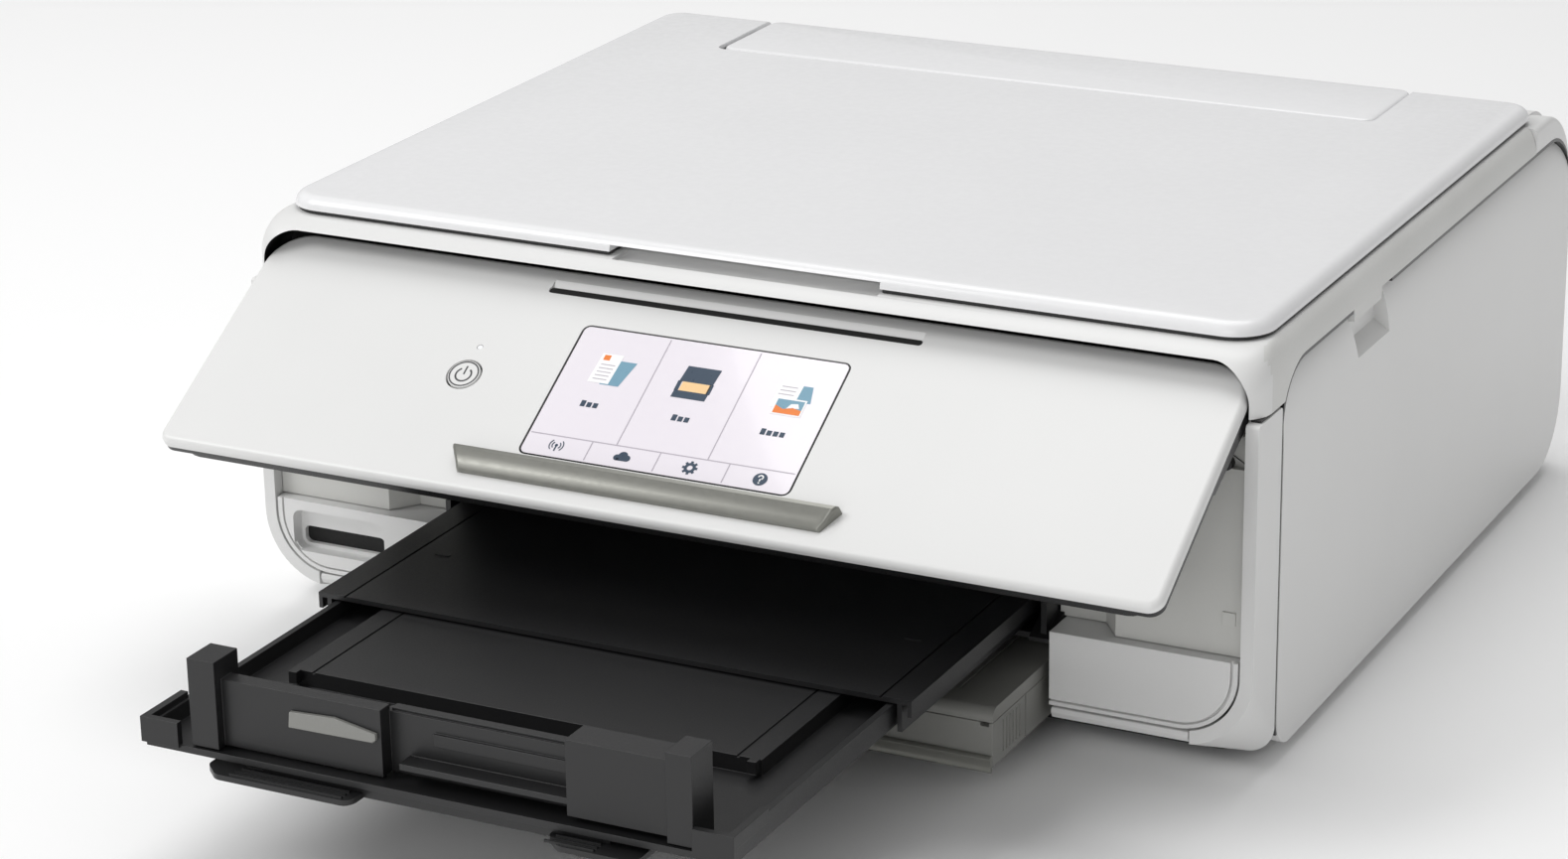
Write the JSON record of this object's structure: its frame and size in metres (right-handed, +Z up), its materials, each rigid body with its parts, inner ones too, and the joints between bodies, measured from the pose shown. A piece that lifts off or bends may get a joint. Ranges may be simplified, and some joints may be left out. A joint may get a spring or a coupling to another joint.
{
  "type": "inkjet printer",
  "caption": "Inkjet all-in-one printer: tilting control panel with screen, scanner lid, drawn-out output tray with paper stop and paper cassette.",
  "frame": {"origin": "on the table, under the middle of the printer with its output tray drawn out", "axes": "+X to the printer's right as its user faces it, +Y to the back, +Z up"},
  "size_m": [0.372, 0.5326, 0.152],
  "materials": {
    "white": "satin white",
    "gloss_white": "polished white",
    "black": "satin black",
    "grey": "satin warm grey",
    "silver": "silver-grey",
    "rubber": "matte black",
    "steel": "plain",
    "glass": "clear",
    "screen": "glossy",
    "board": "green board",
    "pad": "matte white",
    "lens": "clear"
  },
  "bodies": {
    "enclosure": {"lower_case": "black", "foot_front_left": "rubber", "foot_front_right": "rubber", "foot_rear_left": "rubber", "foot_rear_right": "rubber", "side_cover_left": "white", "side_cover_right": "white", "rear_cover": "white", "hinge_cover_left": "white", "hinge_cover_right": "white", "front_frame_left": "white", "front_frame_right": "white", "front_block_left": "white", "front_block_right": "white", "card_slot": "black", "inner_wall_left": "white", "inner_wall_right": "white", "output_channel": "black", "platen": "black", "carriage_rail": "steel", "feed_motor": "steel", "main_board": "board", "power_inlet": "black", "usb_port": "steel", "feed_chute": "white"},
    "control_panel": {"panel_plate": "white", "panel_shell": "black", "touch_screen": "screen", "power_lamp": "lens", "panel_grip": "silver"},
    "power_key": {"power_button": "white"},
    "scanner": {"scanner_housing": "white", "document_glass": "glass", "scan_rail": "steel"},
    "scan_head": {"scan_bar": "black"},
    "lid": {"document_lid": "gloss_white", "pressure_pad": "pad"},
    "feed_door": {"feed_cover": "gloss_white"},
    "rear_support": {"paper_support": "white"},
    "edge_guide_right": {"feed_guide_right": "grey"},
    "edge_guide_left": {"feed_guide_left": "grey"},
    "tray_outer": {"tray_outer_stage": "black"},
    "tray_inner": {"tray_inner_stage": "black", "tray_thumb_grip": "black"},
    "stop": {"paper_stop": "black", "stop_tab": "grey"},
    "cassette": {"cassette_tray": "grey", "cassette_lip": "silver", "cassette_cover": "grey"},
    "cassette_edge_right": {"cassette_guide_right": "black"},
    "cassette_edge_left": {"cassette_guide_left": "black"},
    "carriage": {"ink_carriage": "black", "ink_tank_1": "black", "ink_tank_2": "black", "ink_tank_3": "black", "ink_tank_4": "black", "ink_tank_5": "black"},
    "feed_drive": {"feed_roller": "rubber", "feed_gear": "grey"},
    "exit_drive": {"exit_roller": "rubber"}
  },
  "joints": [
    {"name": "panel_tilt", "type": "hinge", "parent": "enclosure", "child": "control_panel", "pos_m": [0, -0.062, 0.129], "axis": [1, 0, 0], "range_deg": [-20, 21]},
    {"name": "power_button_press", "type": "slide", "parent": "control_panel", "child": "power_key", "axis": [0, 0.5225, -0.8526], "range_m": [0, 0.001], "stiffness_N_per_m": 400, "springref_m": -0.001},
    {"name": "scanner_lift", "type": "hinge", "parent": "enclosure", "child": "scanner", "pos_m": [0, 0.2347, 0.149], "axis": [-1, 0, 0], "range_deg": [0, 25]},
    {"name": "scan_bar_travel", "type": "slide", "parent": "scanner", "child": "scan_head", "axis": [1, 0, 0], "range_m": [0, 0.28]},
    {"name": "lid_open", "type": "hinge", "parent": "scanner", "child": "lid", "pos_m": [0, 0.2332, 0.148], "axis": [-1, 0, 0], "range_deg": [0, 75]},
    {"name": "feed_cover_open", "type": "hinge", "parent": "enclosure", "child": "feed_door", "pos_m": [0, 0.2312, 0.1502], "axis": [-1, 0, 0], "range_deg": [0, 105]},
    {"name": "paper_support_slide", "type": "slide", "parent": "enclosure", "child": "rear_support", "axis": [0, 0.4299, 0.9029], "range_m": [0, 0.045]},
    {"name": "feed_guide_slide", "type": "slide", "parent": "enclosure", "child": "edge_guide_right", "axis": [-1, 0, 0], "range_m": [0, 0.055]},
    {"name": "feed_guide_follow", "type": "slide", "parent": "enclosure", "child": "edge_guide_left", "axis": [1, 0, 0], "range_m": [0, 0.055]},
    {"name": "tray_outer_slide", "type": "slide", "parent": "enclosure", "child": "tray_outer", "axis": [0, 1, 0], "range_m": [0, 0.085]},
    {"name": "tray_inner_slide", "type": "slide", "parent": "tray_outer", "child": "tray_inner", "axis": [0, 1, 0], "range_m": [0, 0.065]},
    {"name": "paper_stop_fold", "type": "hinge", "parent": "tray_inner", "child": "stop", "pos_m": [0, -0.2473, 0.047], "axis": [-1, 0, 0], "range_deg": [0, 88]},
    {"name": "cassette_slide", "type": "slide", "parent": "enclosure", "child": "cassette", "axis": [0, -1, 0], "range_m": [-0.038, 0.2]},
    {"name": "cassette_guide_slide", "type": "slide", "parent": "cassette", "child": "cassette_edge_right", "axis": [-1, 0, 0], "range_m": [0, 0.055]},
    {"name": "cassette_guide_follow", "type": "slide", "parent": "cassette", "child": "cassette_edge_left", "axis": [1, 0, 0], "range_m": [0, 0.055]},
    {"name": "carriage_travel", "type": "slide", "parent": "enclosure", "child": "carriage", "axis": [-1, 0, 0], "range_m": [0, 0.249]},
    {"name": "feed_roller_turn", "type": "hinge", "parent": "enclosure", "child": "feed_drive", "pos_m": [0, 0.0937, 0.062], "axis": [1, 0, 0], "continuous": true},
    {"name": "exit_roller_turn", "type": "hinge", "parent": "enclosure", "child": "exit_drive", "pos_m": [0, 0.0297, 0.062], "axis": [1, 0, 0], "continuous": true}
  ],
  "couplings": [
    {"joint": "feed_guide_follow", "follows": "feed_guide_slide", "ratio": 1},
    {"joint": "cassette_guide_follow", "follows": "cassette_guide_slide", "ratio": 1},
    {"joint": "exit_roller_turn", "follows": "feed_roller_turn", "ratio": 1.2}
  ]
}
